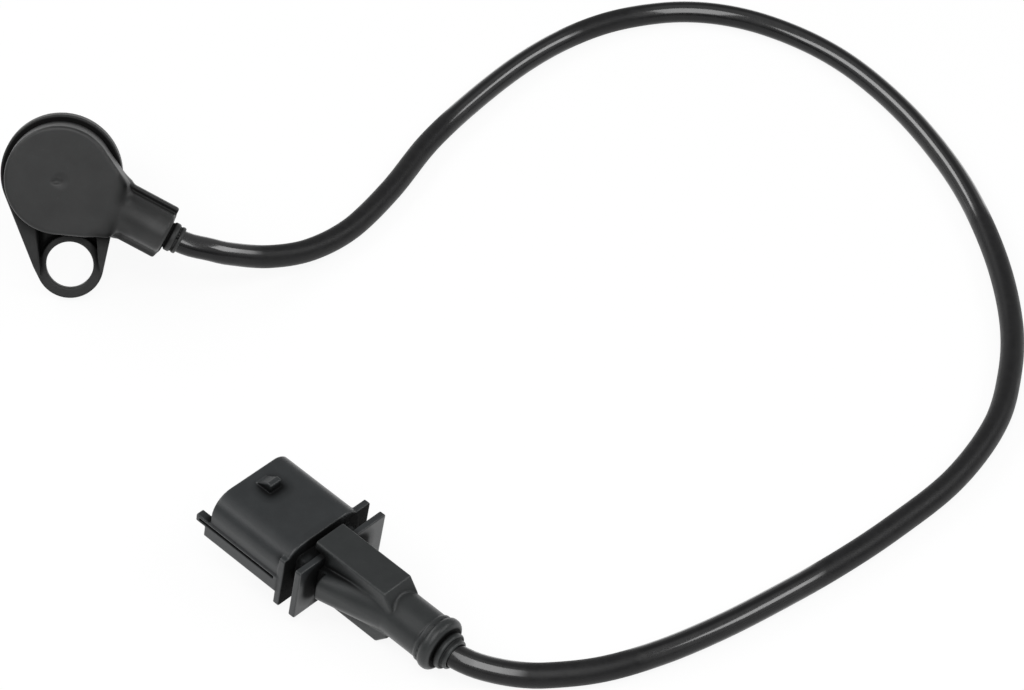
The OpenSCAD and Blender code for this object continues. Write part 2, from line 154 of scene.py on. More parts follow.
# painted shade: corners and slots that little light reaches are painted darker in the base colour, duller and without
# the coat
def paintedShadeGroup():
    tree, start, end = newGroup("paintedHollowShade",
        [("PaintedShade", "Float", 0.0), ("Colour", "Color", None), ("Gloss", "Float", 0.5), ("Sheen", "Float", 0.5)],
        [("Colour", "Color"), ("Gloss", "Float"), ("Sheen", "Float")])
    shadeAmount = math2(tree, "MULTIPLY", start.outputs[0], 1.4, True)
    # painted shade: the colour is blended towards near black where the mask is high
    colour = blendColor(tree, math2(tree, "MULTIPLY", shadeAmount, 0.92), start.outputs[1], tone((0.002, 0.002, 0.002)))
    gloss = math2(tree, "ADD", start.outputs[2], math2(tree, "MULTIPLY", shadeAmount, 0.35), True)
    tree.links.new(colour, end.inputs[0])
    tree.links.new(gloss, end.inputs[1])
    tree.links.new(spread(tree, shadeAmount, 0.0, 0.8, start.outputs[3], 0.0), end.inputs[2])
    return tree


# drawing lines along a sheath, shallow dents and a little dust
def sheathGroup():
    tree, start, end = newGroup("drawnSheath",
        [("Place", "Vector", None)], [("Lines", "Float"), ("Dents", "Float"), ("Dust", "Float")])
    place = start.outputs[0]
    along = put(tree, "ShaderNodeMapping", {"Vector": place, "Scale": (1.0, 1.0, 0.02)}).outputs[0]
    tree.links.new(noise(tree, along, 2600.0, 3.0), end.inputs[0])
    tree.links.new(noise(tree, place, 90.0, 2.0), end.inputs[1])
    tree.links.new(noise(tree, place, 420.0, 6.0, 0.7), end.inputs[2])
    return tree


# turning or stamping lines on metal, and dull patches
def streakGroup():
    tree, start, end = newGroup("metalStreaks",
        [("Place", "Vector", None), ("Stretch", "Vector", None)], [("Streaks", "Float"), ("Patches", "Float")])
    lines = put(tree, "ShaderNodeMapping", {"Vector": start.outputs[0], "Scale": start.outputs[1]}).outputs[0]
    tree.links.new(noise(tree, lines, 2400.0, 3.0), end.inputs[0])
    tree.links.new(noise(tree, start.outputs[0], 380.0, 5.0), end.inputs[1])
    return tree


def newMaterial(name):
    material = bpy.data.materials.new(name)
    material.use_nodes = True
    tree = material.node_tree
    shader = next(n for n in tree.nodes if n.type == "BSDF_PRINCIPLED")
    return material, tree, shader


def tone(colour):
    return (*colour, 1.0)


def fix(shader, **values):
    for label, value in values.items():
        shader.inputs[label.replace("_", " ")].default_value = value


mouldGrain = grainGroup()
rubbedEdges = rubGroup()
paintedHollowShade = paintedShadeGroup()
drawnSheath = sheathGroup()
metalStreaks = streakGroup()

plastics = {
    "coverPlastic": {
        "dark": (0.0185, 0.0189, 0.0189), "pale": (0.0245, 0.025, 0.025), "edge": (0.045, 0.046, 0.045),
        "rough": 0.46, "sheen": 0.5, "rubbed": 0.15,
    },
    "bodyPlastic": {
        "dark": (0.019, 0.0193, 0.0192), "pale": (0.025, 0.0254, 0.0253), "edge": (0.04, 0.041, 0.04),
        "rough": 0.52, "sheen": 0.3, "rubbed": 0.1,
    },
    "plugPlastic": {
        "dark": (0.0165, 0.0183, 0.0196), "pale": (0.0215, 0.0237, 0.025), "edge": (0.05, 0.053, 0.054),
        "rough": 0.4, "sheen": 0.7, "grain": 3600.0, "patch": 220.0,
    },
    "bootPlastic": {
        "dark": (0.0165, 0.0182, 0.0187), "pale": (0.0215, 0.0236, 0.024), "edge": (0.05, 0.053, 0.053),
        "rough": 0.42, "sheen": 0.6, "grain": 3000.0, "patch": 240.0,
    },
    "carrierPlastic": {
        "dark": (0.012, 0.05, 0.036), "pale": (0.022, 0.075, 0.055), "edge": (0.06, 0.15, 0.11), "rough": 0.5,
    },
    "formerPlastic": {
        "dark": (0.5, 0.46, 0.36), "pale": (0.62, 0.58, 0.47), "edge": (0.7, 0.66, 0.55), "rough": 0.55,
    },
}
plasticLook = {"specks": 0.35, "uneven": 0.07, "polish": 0.1, "coatStep": 0.06, "relief": 0.6, "depth": 0.00003}


# moulded plastic: patches, specks and rubbed edges in the colour, painted shade in the hollows, grain in the gloss and
# the bump
def mouldedPlastic(name, dark, pale, edge, rough, grain=4200.0, patch=160.0, sheen=0.5, rubbed=0.3):
    look = plasticLook
    material, tree, shader = newMaterial(name)
    place = objectPlace(tree)
    texture = put(tree, "ShaderNodeGroup", {"Place": place, "Grain": grain, "Patch": patch}, node_tree=mouldGrain)
    wear = put(tree, "ShaderNodeGroup", {"Place": place, "Rim": readValue(tree, "rim")}, node_tree=rubbedEdges)
    height, worn = texture.outputs["Height"], wear.outputs["Rubbed"]
    colour = blendColor(tree, texture.outputs["Patches"], tone(dark), tone(pale))
    colour = blendColor(tree, math2(tree, "MULTIPLY", texture.outputs["Specks"], look["specks"]), colour, tone(edge))
    colour = blendColor(tree, math2(tree, "MULTIPLY", worn, rubbed), colour, tone(edge))
    gloss = spread(tree, height, 0.25, 0.75, rough + look["uneven"], rough - look["uneven"])
    gloss = math2(tree, "SUBTRACT", gloss, math2(tree, "MULTIPLY", worn, look["polish"]))
    # painted shade: hollows get a darker base colour, more roughness and less coat
    paintedShade = readValue(tree, "paintedShade")
    shaded = put(tree, "ShaderNodeGroup",
        {"PaintedShade": paintedShade, "Colour": colour, "Gloss": gloss, "Sheen": sheen}, node_tree=paintedHollowShade)
    tree.links.new(shaded.outputs["Colour"], shader.inputs["Base Color"])
    tree.links.new(shaded.outputs["Gloss"], shader.inputs["Roughness"])
    tree.links.new(shaded.outputs["Sheen"], shader.inputs["Coat Weight"])
    fix(shader, Specular_IOR_Level=0.1, Coat_Roughness=rough - look["coatStep"])
    relief = put(tree, "ShaderNodeBump", {"Strength": look["relief"], "Distance": look["depth"], "Height": height})
    tree.links.new(relief.outputs["Normal"], shader.inputs["Normal"])
    return material


sheaths = {
    "leadSheath": {
        "dark": (0.0045, 0.0045, 0.005), "pale": (0.009, 0.009, 0.0095), "rough": 0.18, "attribute": "unrolled",
        # stretches rubbed to a shine, in metres along the lead
        "polished": ((0.0, 0.031), (0.106, 0.149), (0.170, 0.291), (0.425, 0.466), (0.494, 0.506)),
    },
    "coreBrown": {"dark": (0.10, 0.03, 0.018), "pale": (0.15, 0.05, 0.03), "rough": 0.35},
    "coreBlue": {"dark": (0.02, 0.05, 0.14), "pale": (0.035, 0.08, 0.2), "rough": 0.35},
    "corePale": {"dark": (0.42, 0.42, 0.4), "pale": (0.52, 0.52, 0.49), "rough": 0.35},
    "sealRubber": {"dark": (0.008, 0.008, 0.008), "pale": (0.018, 0.018, 0.018), "rough": 0.42},
}
sheathLook = {"dusty": 0.14, "waver": 0.003, "fadeOut": 0.004, "fadeIn": 0.003, "dull": 0.22}


# extruded sheath: faint drawing lines along it, shallow dents, dust in the gloss
def sheathSkin(name, dark, pale, rough, attribute=None, polished=()):
    look = sheathLook
    material, tree, shader = newMaterial(name)
    place = readValue(tree, attribute, "Vector") if attribute else objectPlace(tree)
    texture = put(tree, "ShaderNodeGroup", {"Place": place}, node_tree=drawnSheath)
    dents, dust = texture.outputs["Dents"], texture.outputs["Dust"]
    colour = blendColor(tree, spread(tree, dust, 0.4, 0.75), tone(dark), tone(pale))
    tree.links.new(colour, shader.inputs["Base Color"])
    gloss = spread(tree, dust, 0.35, 0.7, rough, rough + look["dusty"])
    if polished:
        run = put(tree, "ShaderNodeSeparateXYZ", {0: place}).outputs["Z"]
        worn = math2(tree, "ADD", run, spread(tree, dents, 0.3, 0.7, -look["waver"], look["waver"]))
        shine = 0.0
        for first, last in polished:
            begun = spread(tree, worn, first - look["fadeOut"], first + look["fadeIn"])
            going = spread(tree, worn, last + look["fadeOut"], last - look["fadeIn"])
            shine = math2(tree, "MAXIMUM", math2(tree, "MULTIPLY", begun, going), shine)
        gloss = math2(tree, "ADD", gloss, spread(tree, shine, 0.0, 1.0, look["dull"], 0.0))
        upward = readValue(tree, "upward")
        band = math2(tree, "MULTIPLY", spread(tree, upward, 0.4, 0.6), spread(tree, upward, 0.995, 0.95))
        tree.links.new(math2(tree, "MULTIPLY", shine, band), shader.inputs["Coat Weight"])
        fix(shader, Coat_Roughness=0.12, Coat_IOR=1.7)
    tree.links.new(gloss, shader.inputs["Roughness"])
    fix(shader, Specular_IOR_Level=0.3)
    first = put(tree, "ShaderNodeBump", {"Strength": 0.35, "Distance": 0.00002, "Height": texture.outputs["Lines"]})
    second = put(tree, "ShaderNodeBump",
        {"Strength": 0.5, "Distance": 0.0004, "Height": dents, "Normal": first.outputs["Normal"]})
    tree.links.new(second.outputs["Normal"], shader.inputs["Normal"])
    return material


metals = {
    "poleSteel": {"bright": (0.56, 0.57, 0.58), "dull": (0.38, 0.38, 0.39), "rough": 0.32},
    "contactBrass": {
        "bright": (0.78, 0.66, 0.34), "dull": (0.6, 0.48, 0.24), "rough": 0.28, "stretch": (1.0, 0.2, 1.0),
    },
    "magnetMetal": {"bright": (0.2, 0.2, 0.21), "dull": (0.12, 0.12, 0.125), "rough": 0.5},
    "windingCopper": {
        "bright": (0.62, 0.26, 0.1), "dull": (0.45, 0.17, 0.07), "rough": 0.25, "stretch": (1.0, 1.0, 0.05),
    },
}


# bare metal: turning or stamping lines in the gloss, with dull patches
def bareMetal(name, bright, dull, rough, stretch=(1.0, 1.0, 1.0)):
    material, tree, shader = newMaterial(name)
    texture = put(tree, "ShaderNodeGroup", {"Place": objectPlace(tree), "Stretch": stretch}, node_tree=metalStreaks)
    streaks = texture.outputs["Streaks"]
    colour = blendColor(tree, spread(tree, texture.outputs["Patches"], 0.4, 0.7), tone(bright), tone(dull))
    tree.links.new(colour, shader.inputs["Base Color"])
    tree.links.new(spread(tree, streaks, 0.3, 0.7, rough - 0.06, rough + 0.1), shader.inputs["Roughness"])
    fix(shader, Metallic=1.0)
    relief = put(tree, "ShaderNodeBump", {"Strength": 0.3, "Distance": 0.00001, "Height": streaks})
    tree.links.new(relief.outputs["Normal"], shader.inputs["Normal"])
    return material


finish = {}
for maker, sorts in ((mouldedPlastic, plastics), (sheathSkin, sheaths), (bareMetal, metals)):
    for name, values in sorts.items():
        finish[name] = maker(name, **values)
print("materials made,", len(finish))

# route in metres, head end first, the same points as the solid's; stops in millimetres along the arm and the plug
lead = {
    "diameter": 0.00525, "sides": 28, "ring": 0.0016, "length": 0.524, "each": 8,
    "armStops": (15.0, 20.85, 30.6), "plugStops": (32.8, 23.1, 14.0),
    "route": [
        (0.0255, -0.0217, 0.012125), (0.03, -0.0207, 0.009925), (0.0385, -0.0173, 0.006125),
        (0.0476, -0.0119, 0.003625), (0.0567, -0.003, 0.002625), (0.0653, 0.0108, 0.002625),
        (0.0738, 0.0282, 0.002625), (0.0843, 0.0441, 0.002625), (0.0963, 0.059, 0.002625),
        (0.1082, 0.0697, 0.002625), (0.1206, 0.0765, 0.002625), (0.1355, 0.0795, 0.002625),
        (0.1498, 0.077, 0.002625), (0.1637, 0.0692, 0.002625), (0.1756, 0.0578, 0.002625),
        (0.1866, 0.0411, 0.002625), (0.195, 0.0227, 0.002625), (0.2005, 0.0048, 0.002625),
        (0.2041, -0.0165, 0.002625), (0.2048, -0.0369, 0.002625), (0.2025, -0.0534, 0.002625),
        (0.1976, -0.069, 0.002625), (0.1872, -0.0856, 0.002625), (0.1732, -0.0998, 0.002625),
        (0.1602, -0.1109, 0.002625), (0.1472, -0.1205, 0.002625), (0.1352, -0.1285, 0.002625),
        (0.1232, -0.1351, 0.002625), (0.1111, -0.1397, 0.002625), (0.099, -0.1413, 0.002625),
        (0.0894, -0.1408, 0.003825),
    ],
}


def alongArm(s):
    return headStance @ Vector((s * math.cos(armTurn), s * math.sin(armTurn), leadHeight)) * mm


def alongPlug(x):
    return plugStance @ Vector((x, 0, 0)) * mm


# smooth curve through all points, never below the floor
def smoothRoute(points, each, low):
    out = []
    for i in range(len(points) - 1):
        a, b, c, d = (points[max(0, min(len(points) - 1, k))] for k in (i - 1, i, i + 1, i + 2))
        for k in range(each):
            t = k / each
            p = 0.5 * (2 * b + (c - a) * t + (2 * a - 5 * b + 4 * c - d) * t * t + (3 * b - a - 3 * c + d) * t ** 3)
            p.z = max(p.z, low)
            out.append(p)
    return out + [points[-1]]


armEnds = [alongArm(s) for s in lead["armStops"]]
plugEnds = [alongPlug(x) for x in lead["plugStops"]]
leadPoints = smoothRoute(armEnds + [Vector(p) for p in lead["route"]] + plugEnds, lead["each"], lead["diameter"] / 2)


# keeps a value of a curve's points for after the sweep
def captured(tree, geometry, kind, label, value):
    node = put(tree, "GeometryNodeCaptureAttribute", domain="POINT")
    node.capture_items.new(kind, label)
    tree.links.new(geometry, node.inputs[0])
    tree.links.new(value, node.inputs[1])
    return node.outputs[0], node.outputs[1]


def stored(tree, geometry, kind, label, value):
    links = {"Geometry": geometry, "Name": label, "Value": value}
    return put(tree, "GeometryNodeStoreNamedAttribute", links, data_type=kind, domain="POINT").outputs[0]


def closeTree(tree, end, geometry, material):
    real = put(tree, "GeometryNodeRealizeInstances", {0: geometry})
    made = put(tree, "GeometryNodeSetMaterial", {"Geometry": real.outputs[0], "Material": material})
    tree.links.new(made.outputs[0], end.inputs[0])
    return tree


# tube along a path; keeps the straightened place and the rise of each point for the material
def tubeTree():
    tree, start, end = newGroup("leadTube",
        [("Geometry", "Geometry", None), ("Diameter", "Float", 0.005), ("Ring spacing", "Float", 0.0016),
         ("Sides", "Int", 28), ("Finish", "Material", None)],
        [("Geometry", "Geometry")], "GeometryNodeTree")
    path, diameter, spacing, sides, material = (start.outputs[k] for k in range(5))
    even = put(tree, "GeometryNodeResampleCurve", {"Curve": path, "Length": spacing}, mode="LENGTH")
    length = tree.nodes.new("GeometryNodeSplineParameter").outputs["Length"]
    line, run = captured(tree, even.outputs[0], "FLOAT", "Run", length)
    radius = math2(tree, "MULTIPLY", diameter, 0.5)
    ring = put(tree, "GeometryNodeCurvePrimitiveCircle", {"Resolution": sides, "Radius": radius})
    spot = tree.nodes.new("GeometryNodeInputPosition").outputs[0]
    profile, around = captured(tree, ring.outputs[0], "VECTOR", "Around", spot)
    tube = put(tree, "GeometryNodeCurveToMesh", {"Curve": line, "Profile Curve": profile, "Fill Caps": True})
    along = put(tree, "ShaderNodeCombineXYZ", {2: run})
    place = put(tree, "ShaderNodeVectorMath", {0: around, 1: along.outputs[0]}, operation="ADD")
    rise = put(tree, "ShaderNodeSeparateXYZ", {0: tree.nodes.new("GeometryNodeInputNormal").outputs[0]})
    mesh = stored(tree, tube.outputs[0], "FLOAT_VECTOR", "unrolled", place.outputs[0])
    mesh = stored(tree, mesh, "FLOAT", "upward", rise.outputs["Z"])
    smooth = put(tree, "GeometryNodeSetShadeSmooth", {0: mesh})
    return closeTree(tree, end, smooth.outputs[0], material)


# runs a node tree on a source object and keeps the plain mesh
def grown(name, source, tree, values):
    modifier = source.modifiers.new("grow", "NODES")
    modifier.node_group = tree
    for item in tree.interface.items_tree:
        if item.item_type == "SOCKET" and item.in_out == "INPUT" and item.name in values:
            modifier[item.identifier] = values[item.name]
    source.update_tag()
    depsgraph = bpy.context.evaluated_depsgraph_get()
    mesh = bpy.data.meshes.new_from_object(
        source.evaluated_get(depsgraph), preserve_all_data_layers=True, depsgraph=depsgraph)
    source.modifiers.remove(modifier)
    bpy.data.objects.remove(source)
    mesh.name = name
    piece = bpy.data.objects.new(name, mesh)
    scene.collection.objects.link(piece)
    return piece


pathCurve = bpy.data.curves.new("leadPath", "CURVE")
pathCurve.dimensions = "3D"
spline = pathCurve.splines.new("POLY")
spline.points.add(len(leadPoints) - 1)
spline.points.foreach_set("co", [v for p in leadPoints for v in (*p, 1.0)])
pathObject = bpy.data.objects.new("leadPath", pathCurve)
scene.collection.objects.link(pathObject)
leadPiece = grown("lead", pathObject, tubeTree(), {
    "Diameter": lead["diameter"], "Ring spacing": lead["ring"], "Sides": lead["sides"], "Finish": finish["leadSheath"]})
print("lead laid,", len(leadPiece.data.polygons), "faces")


# the moulded pieces are distances in millimetres, joined with a fillet or cut with a rounded edge, then skinned
def joined(a, b, r):
    return np.maximum(r, np.minimum(a, b)) - np.hypot(np.maximum(r - a, 0), np.maximum(r - b, 0))


def eased(a, b, r):
    return np.minimum(-r, np.maximum(a, b)) + np.hypot(np.maximum(r + a, 0), np.maximum(r + b, 0))


def between(v, low, high):
    return np.maximum(low - v, v - high)


def roundFlat(u, v, width, height, r):
    a, b = np.abs(u) - width / 2 + r, np.abs(v) - height / 2 + r
    return np.hypot(np.maximum(a, 0), np.maximum(b, 0)) + np.minimum(np.maximum(a, b), 0) - r


# two circles and their outer tangents
def twoRounds(u, v, r1, r2, gap):
    u = np.abs(u)
    b = (r1 - r2) / gap
    a = math.sqrt(1 - b * b)
    k = a * v - b * u
    side = a * u + b * v - r1
    return np.where(k < 0, np.hypot(u, v) - r1, np.where(k > a * gap, np.hypot(u, v - gap) - r2, side))


def polyFlat(points, u, v):
    best, inside = None, False
    for (ax, ay), (bx, by) in zip(points, points[1:] + points[:1]):
        ex, ey = bx - ax, by - ay
        t = np.clip(((u - ax) * ex + (v - ay) * ey) / (ex * ex + ey * ey), 0, 1)
        far = (u - ax - t * ex) ** 2 + (v - ay - t * ey) ** 2
        best = far if best is None else np.minimum(best, far)
        if ay != by:
            inside = inside ^ (((ay > v) != (by > v)) & (u < ex * (v - ay) / ey + ax))
    return np.where(inside, -1.0, 1.0) * np.sqrt(best)


# moves points onto the shape's surface
def settle(shape, points, step, rounds=3):
    small = step * 0.1
    for _ in range(rounds):
        value = shape(*points.T)
        slope = [(shape(*(points + d).T) - shape(*(points - d).T)) / (2 * small) for d in np.eye(3) * small]
        slope = np.stack(slope, 1)
        points = points - np.clip(value, -step, step)[:, None] * slope / np.maximum((slope ** 2).sum(1), 0.3)[:, None]
    return points


# one point in each cell that the surface crosses, one face round each grid edge that it cuts
def skin(shape, low, high, step):
    axes = [np.arange(a - 1.6 * step, b + 2.6 * step, step) for a, b in zip(low, high)]
    field = shape(*np.meshgrid(*axes, indexing="ij", sparse=True))
    solid = field < 0
    cells = [n - 1 for n in field.shape]
    stride = np.array([cells[1] * cells[2], cells[2], 1])
    unit = np.eye(3, dtype=int)
    total, count, faces = np.zeros((cells[0] * stride[0], 3)), np.zeros(cells[0] * stride[0]), []
    for axis in range(3):
        lower = [slice(0, -1) if k == axis else slice(1, -1) for k in range(3)]
        upper = [slice(1, None) if k == axis else slice(1, -1) for k in range(3)]
        at = np.argwhere(solid[tuple(lower)] != solid[tuple(upper)]) + (1 - unit[axis])
        first, last = field[tuple(at.T)], field[tuple((at + unit[axis]).T)]
        spot = at.astype(float)
        spot[:, axis] += first / (first - last)
        u, v = unit[(axis + 1) % 3], unit[(axis + 2) % 3]
        quad = np.stack([(at - du * u - dv * v) @ stride for du, dv in ((1, 1), (0, 1), (0, 0), (1, 0))], 1)
        for k in range(4):
            np.add.at(total, quad[:, k], spot)
            np.add.at(count, quad[:, k], 1)
        quad[first >= 0] = quad[first >= 0][:, ::-1]
        faces.append(quad)
    used, index = np.unique(np.concatenate(faces), return_inverse=True)
    points = total[used] / count[used][:, None] * step + [a[0] for a in axes]
    return settle(shape, points, step), index.reshape(-1, 4)


# evens out part of a surface; weight is 0 where it stays
def relaxed(points, faces, weight, rounds):
    a, b = faces.ravel(), np.roll(faces, -1, 1).ravel()
    degree = np.bincount(a, minlength=len(points)) + np.bincount(b, minlength=len(points))
    for _ in range(rounds):
        pull = np.zeros_like(points)
        for k in range(3):
            pull[:, k] = np.bincount(a, points[b, k], len(points)) + np.bincount(b, points[a, k], len(points))
        points = points + 0.5 * weight[:, None] * (pull / degree[:, None] - points)
    return points


# rim: how sharply the surface turns; painted shade in hollows: distances to look along the normal, and what each counts
skinLook = {
    "rounds": 150, "rimReach": 0.35, "rimGain": 1.3, "rimFloor": 0.12,
    "paintedShade": ((0.8, 0.3), (1.8, 0.45), (3.6, 0.55)),
}


def setValue(mesh, label, values):
    mesh.attributes.new(label, "FLOAT", "POINT").data.foreach_set("value", np.clip(values, 0, 1).astype(np.float32))


# skins a shape, thins the mesh, and stores where its edges are and a mask for the shade painted into its hollows
def moulded(name, shape, sizes, place, material, soften=None, near=None):
    look = skinLook
    points, faces = skin(shape, *sizes["box"], sizes["step"])
    if soften:
        points = relaxed(points, faces, soften(*points.T), look["rounds"])
    mesh = bpy.data.meshes.new(name)
    mesh.from_pydata(points.tolist(), [], faces.tolist())
    rough = bpy.data.objects.new(name + "Rough", mesh)
    scene.collection.objects.link(rough)
    thin = rough.modifiers.new("thin", "DECIMATE")
    thin.ratio = sizes["keep"]
    depsgraph = bpy.context.evaluated_depsgraph_get()
    final = bpy.data.meshes.new_from_object(rough.evaluated_get(depsgraph))
    bpy.data.objects.remove(rough)
    bpy.data.meshes.remove(mesh)
    final.name = name
    points = np.empty(len(final.vertices) * 3)
    final.vertices.foreach_get("co", points)
    points = points.reshape(-1, 3)
    reach = look["rimReach"]
    turn = sum(shape(*(points + d).T) + shape(*(points - d).T) for d in np.eye(3) * reach) - 6 * shape(*points.T)
    setValue(final, "rim", turn / reach * look["rimGain"] - look["rimFloor"])
    facing = np.empty(points.size, np.float32)
    final.vertex_normals.foreach_get("vector", facing)
    facing = facing.reshape(-1, 3)
    # mask for the painted shade: how closed in each point is along its normal
    around = near or shape
    setValue(final, "paintedShade", sum(
        share * np.clip(1 - around(*(points + facing * d).T) / d, 0, 2) for d, share in look["paintedShade"]))
    final.transform(Matrix.Scale(mm, 4) @ place)
    final.polygons.foreach_set("use_smooth", [True] * len(final.polygons))
    final.materials.append(material)
    piece = bpy.data.objects.new(name, final)
    scene.collection.objects.link(piece)
    print(name, "skinned,", len(final.polygons), "faces")
    return piece


# cover with the lead arm; a ring of the collar is its start, end, radius and edge
cover = {
    "base": 4.0, "top": 12.0, "capR": 12.2, "edge": 0.75,
    "side": [(0.0, 0.0), (4.745, -11.196), (16.4, -6.3), (14.1, 6.3), (5.729, 10.726)],
    "armFrom": 9.0, "armEnd": 26.7, "armR": 4.68, "armEdge": 0.9, "rightFillet": 1.9, "leftFillet": 0.5,
    "plateW": 6.3, "plateT": 2.0, "plateOff": 0.22, "plateEdge": 0.5, "plateShort": 0.1,
    "blend": 1.6, "blendTop": 11.2, "blendRun": 3.5, "blendLeast": 0.06,
    "neckR": 2.98, "neckFrom": 24.0, "neckShort": 0.5, "collarEnd": 30.1,
    "rings": [(27.25, 28.8, 3.4, 0.45), (29.15, 30.1, 3.2, 0.35)],
    "holeR": 2.74, "roomR": 8.8, "roomTop": 10.0,
    "dishX": 0.3, "dishUp": 8.85, "dishR": 9.0, "dishEdge": 0.1,
    "pitX": -0.5, "pitUp": 0.4, "pitR": 0.95, "pitLong": 1.4, "pitEdge": 0.2,
    "softFrom": 11.0, "softTo": 23.0, "softRun": 2.5, "softUp": 8.2, "softRise": 1.2,
    "box": ((-12.3, -21.5, 4), (26.8, 12.3, 12)), "step": 0.24, "keep": 0.96,
}


def armAxes(x, y):
    c, s = math.cos(armTurn), math.sin(armTurn)
    return x * c + y * s, y * c - x * s


def coverOutline(x, y):
    s, w = armAxes(x, y)
    return np.minimum(np.hypot(x, y) - cover["capR"], polyFlat(cover["side"], s, w))


def coverShape(x, y, z):
    c = cover
    s, w = armAxes(x, y)
    around = np.hypot(w, z - leadHeight)
    cap = eased(coverOutline(x, y), between(z, c["base"], c["top"]), c["edge"])
    under = np.maximum(np.abs(w) - c["armR"], between(z, c["base"], leadHeight))
    boss = eased(np.minimum(around - c["armR"], under), between(s, c["armFrom"], c["armEnd"]), c["armEdge"])
    plate = between(z, c["base"], c["base"] + c["plateT"])
    plate = eased(np.abs(w + c["plateOff"]) - c["plateW"], plate, c["plateEdge"])
    plate = eased(plate, between(s, c["armFrom"], c["armEnd"] - c["plateShort"]), c["plateEdge"])
    arm = joined(boss, plate, np.where(w < 0, c["rightFillet"], c["leftFillet"]))
    ease = c["blend"] * np.clip((c["blendTop"] - z) / c["blendRun"], c["blendLeast"], 1)
    whole = np.maximum(joined(cap, arm, ease), c["base"] - z)
    neck = np.maximum(around - c["neckR"], between(s, c["neckFrom"], c["collarEnd"] - c["neckShort"]))
    whole = np.minimum(whole, neck)
    for first, last, r, edge in c["rings"]:
        whole = np.minimum(whole, eased(around - r, between(s, first, last), edge))
    whole = np.maximum(whole, np.minimum(s, c["holeR"] - around))
    whole = np.maximum(whole, -np.maximum(np.hypot(x, y) - c["roomR"], z - c["roomTop"]))
    dish = np.sqrt((x - c["dishX"]) ** 2 + y * y + (z - c["top"] - c["dishUp"]) ** 2) - c["dishR"]
    pit = np.sqrt(((x - c["pitX"]) / c["pitLong"]) ** 2 + y * y + (z - c["top"] - c["pitUp"]) ** 2) - c["pitR"]
    return eased(eased(whole, -dish, c["dishEdge"]), -pit, c["pitEdge"])


# where the arm's crown flows into the cap
def coverSoft(x, y, z):
    c, s = cover, armAxes(x, y)[0]
    inRange = np.clip((s - c["softFrom"]) / c["softRun"], 0, 1) * np.clip((c["softTo"] - s) / c["softRun"], 0, 1)
    return inRange * np.clip((z - c["softUp"]) / c["softRise"], 0, 1)


# flange, bolt ear with its sunk seat, and nose
body = {
    "flangeR": 13.55, "flangeT": 4.0, "edge": 0.45, "pitch": 20.9, "earR": 7.6, "boltR": 5.3, "boltEdge": 0.3,
    "seatR": 6.6, "seatT": 2.2, "seatEdge": 0.22, "rampFrom": 2.5, "rampRise": 0.55, "rampScale": 0.88,
    "bushR": 6.95, "bushX": 0.3, "pocketFloor": 0.3, "pocketWall": 0.15, "pocketStop": 1.0,
    "noseR": 7.5, "noseLen": 37.4, "noseInto": 2.0, "noseFillet": 0.5, "tip": 1.0,
    "sealAt": 5.0, "sealMid": 7.2, "sealR": 1.1, "boreR": 5.8, "boreEnd": -35.4, "poleR": 2.5, "poleTop": -30.0,
    "box": ((-13.7, -28.6, -37.5), (13.7, 13.7, 4.1)), "step": 0.27, "keep": 0.9,
}


def bodyShape(x, y, z):
    b = body
    axis, bolt = np.hypot(x, y), np.hypot(x, y + b["pitch"])
    plate = eased(twoRounds(x, -y, b["flangeR"], b["earR"], b["pitch"]), between(z, 0, b["flangeT"]), b["edge"])
    nose = eased(axis - b["noseR"], between(z, -b["noseLen"], b["noseInto"]), b["tip"])
    whole = joined(plate, nose, b["noseFillet"])
    recess = np.maximum(np.maximum(np.abs(x) - b["seatR"], y), -coverOutline(x, y))
    whole = eased(whole, -np.maximum(recess, b["seatT"] - z), b["seatEdge"])
    ramp = z - b["seatT"] - b["rampRise"] * np.maximum(y + b["pitch"] + b["rampFrom"], 0)
    whole = eased(whole, b["rampScale"] * ramp, b["seatEdge"])
    pocket = np.maximum(recess + b["pocketWall"], b["bushR"] - np.hypot(x - b["bushX"], y + b["pitch"]))
    pocket = np.maximum(pocket, -b["pitch"] + b["pocketStop"] - y)
    whole = np.maximum(whole, -np.maximum(pocket, b["pocketFloor"] - z))
    whole = eased(whole, b["boltR"] - bolt, b["boltEdge"])
    groove = np.hypot(axis - b["sealMid"], z + b["sealAt"]) - b["sealR"]
    whole = np.maximum(whole, -groove)
    whole = np.maximum(whole, -np.maximum(axis - b["boreR"], b["boreEnd"] - z))
    return np.maximum(whole, -np.maximum(axis - b["poleR"], z - b["poleTop"]))


def headShape(x, y, z):
    return np.minimum(coverShape(x, y, z), bodyShape(x, y, z))


coverPiece = moulded("headCover", coverShape, cover, headStance, finish["coverPlastic"], coverSoft, headShape)
bodyPiece = moulded("headBody", bodyShape, body, headStance, finish["bodyPlastic"], None, headShape)

